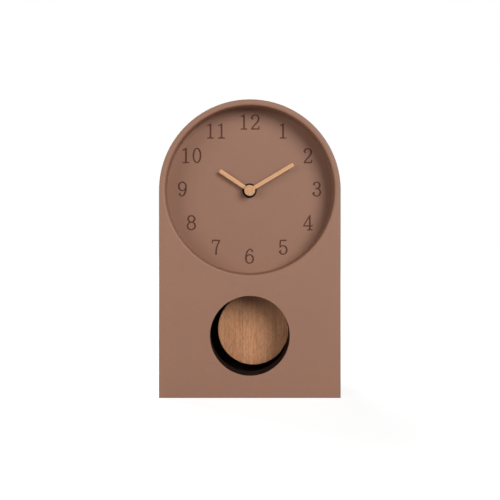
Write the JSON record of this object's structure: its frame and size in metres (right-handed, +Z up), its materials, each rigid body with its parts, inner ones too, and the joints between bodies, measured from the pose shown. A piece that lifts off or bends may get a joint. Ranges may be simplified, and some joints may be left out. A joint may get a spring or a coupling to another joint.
{
  "type": "desk pendulum clock",
  "caption": "Arch-topped desk clock of painted board with a sunk dial, bar hands and a wooden disc pendulum behind a round window, driven by a battery movement.",
  "frame": {"origin": "on the surface the clock stands on, under the middle of the case", "axes": "+Z up, -Y out of the dial towards the reader, +X to the reader's right"},
  "size_m": [0.146, 0.07, 0.24],
  "materials": {
    "case_paint": "matt clay-brown paint on fibreboard",
    "back_board": "matt black paint on fibreboard",
    "steel": "plain bright steel",
    "black_metal": "satin black",
    "rubber": "matt black",
    "housing_plastic": "fine spark-eroded black",
    "knob_plastic": "black, lightly polished",
    "gear_plastic": "natural white",
    "brass": "plain brass",
    "core_steel": "annealed sheet",
    "copper_wire": "enamelled copper winding",
    "magnet": "dark sintered magnet",
    "circuit": "green solder mask",
    "crystal_can": "tinned can",
    "cell_sleeve": "plain printed sleeve, no marks",
    "hand_wood": "pale bare wood",
    "bob_wood": "oiled oak with upright grain"
  },
  "bodies": {
    "case": {"front_board": "case_paint", "dial_board": "case_paint", "case_frame": "case_paint", "base_board": "case_paint", "back_panel": "back_board", "gasket": "rubber", "dial_washer": "black_metal", "dial_nut": "black_metal", "movement_housing": "housing_plastic", "movement_cover": "housing_plastic", "train_pins": "steel", "stator": "core_steel", "coil_core": "core_steel", "motor_coil": "copper_wire", "circuit_board": "circuit", "quartz_crystal": "crystal_can", "battery": "cell_sleeve", "contact_negative": "brass", "contact_positive": "brass", "drive_coil": "copper_wire", "pendulum_pivot": "steel"},
    "minute": {"minute_arbor": "brass", "minute_hand": "hand_wood", "hand_cap": "hand_wood"},
    "hour": {"hour_wheel": "gear_plastic", "hour_hand": "hand_wood"},
    "motion": {"minute_wheel": "gear_plastic"},
    "setting": {"setting_arbor": "knob_plastic", "setting_knob": "knob_plastic"},
    "centre": {"centre_wheel": "gear_plastic"},
    "third": {"third_wheel": "gear_plastic"},
    "second": {"second_wheel": "gear_plastic"},
    "fifth": {"fifth_wheel": "gear_plastic"},
    "rotor": {"rotor": "magnet"},
    "pendulum": {"pendulum_hanger": "housing_plastic", "drive_magnet": "magnet", "pendulum_rod": "steel", "bob": "bob_wood"}
  },
  "joints": [
    {"name": "minute_turn", "type": "hinge", "parent": "case", "child": "minute", "pos_m": [0, -0.015, 0.167], "axis": [0, 1, 0], "continuous": true},
    {"name": "hour_turn", "type": "hinge", "parent": "case", "child": "hour", "pos_m": [0, -0.015, 0.167], "axis": [0, 1, 0], "continuous": true},
    {"name": "motion_turn", "type": "hinge", "parent": "case", "child": "motion", "pos_m": [-0.01, -0.009, 0.167], "axis": [0, 1, 0], "continuous": true},
    {"name": "setting_turn", "type": "hinge", "parent": "case", "child": "setting", "pos_m": [-0.01602, -0.002, 0.15901], "axis": [0, 1, 0], "continuous": true},
    {"name": "rotor_turn", "type": "hinge", "parent": "case", "child": "rotor", "pos_m": [0.01401, 0.001, 0.15533], "axis": [0, 1, 0], "continuous": true},
    {"name": "fifth_turn", "type": "hinge", "parent": "case", "child": "fifth", "pos_m": [0.0048, 0, 0.15869], "axis": [0, 1, 0], "continuous": true},
    {"name": "second_turn", "type": "hinge", "parent": "case", "child": "second", "pos_m": [0, -0.002, 0.167], "axis": [0, 1, 0], "continuous": true},
    {"name": "third_turn", "type": "hinge", "parent": "case", "child": "third", "pos_m": [0.006, -0.004, 0.17739], "axis": [0, 1, 0], "continuous": true},
    {"name": "centre_turn", "type": "hinge", "parent": "case", "child": "centre", "pos_m": [0, -0.0055, 0.167], "axis": [0, 1, 0], "continuous": true},
    {"name": "pendulum_swing", "type": "hinge", "parent": "case", "child": "pendulum", "pos_m": [0, -0.0005, 0.1165], "axis": [0, -1, 0], "range_deg": [-12, 6]}
  ],
  "couplings": [
    {"joint": "hour_turn", "follows": "minute_turn", "ratio": 0.083333},
    {"joint": "motion_turn", "follows": "minute_turn", "ratio": -0.33333},
    {"joint": "setting_turn", "follows": "minute_turn", "ratio": 1},
    {"joint": "fifth_turn", "follows": "rotor_turn", "ratio": -0.16667},
    {"joint": "second_turn", "follows": "rotor_turn", "ratio": 0.033333},
    {"joint": "third_turn", "follows": "rotor_turn", "ratio": -0.0044444},
    {"joint": "centre_turn", "follows": "rotor_turn", "ratio": 0.00055556}
  ]
}
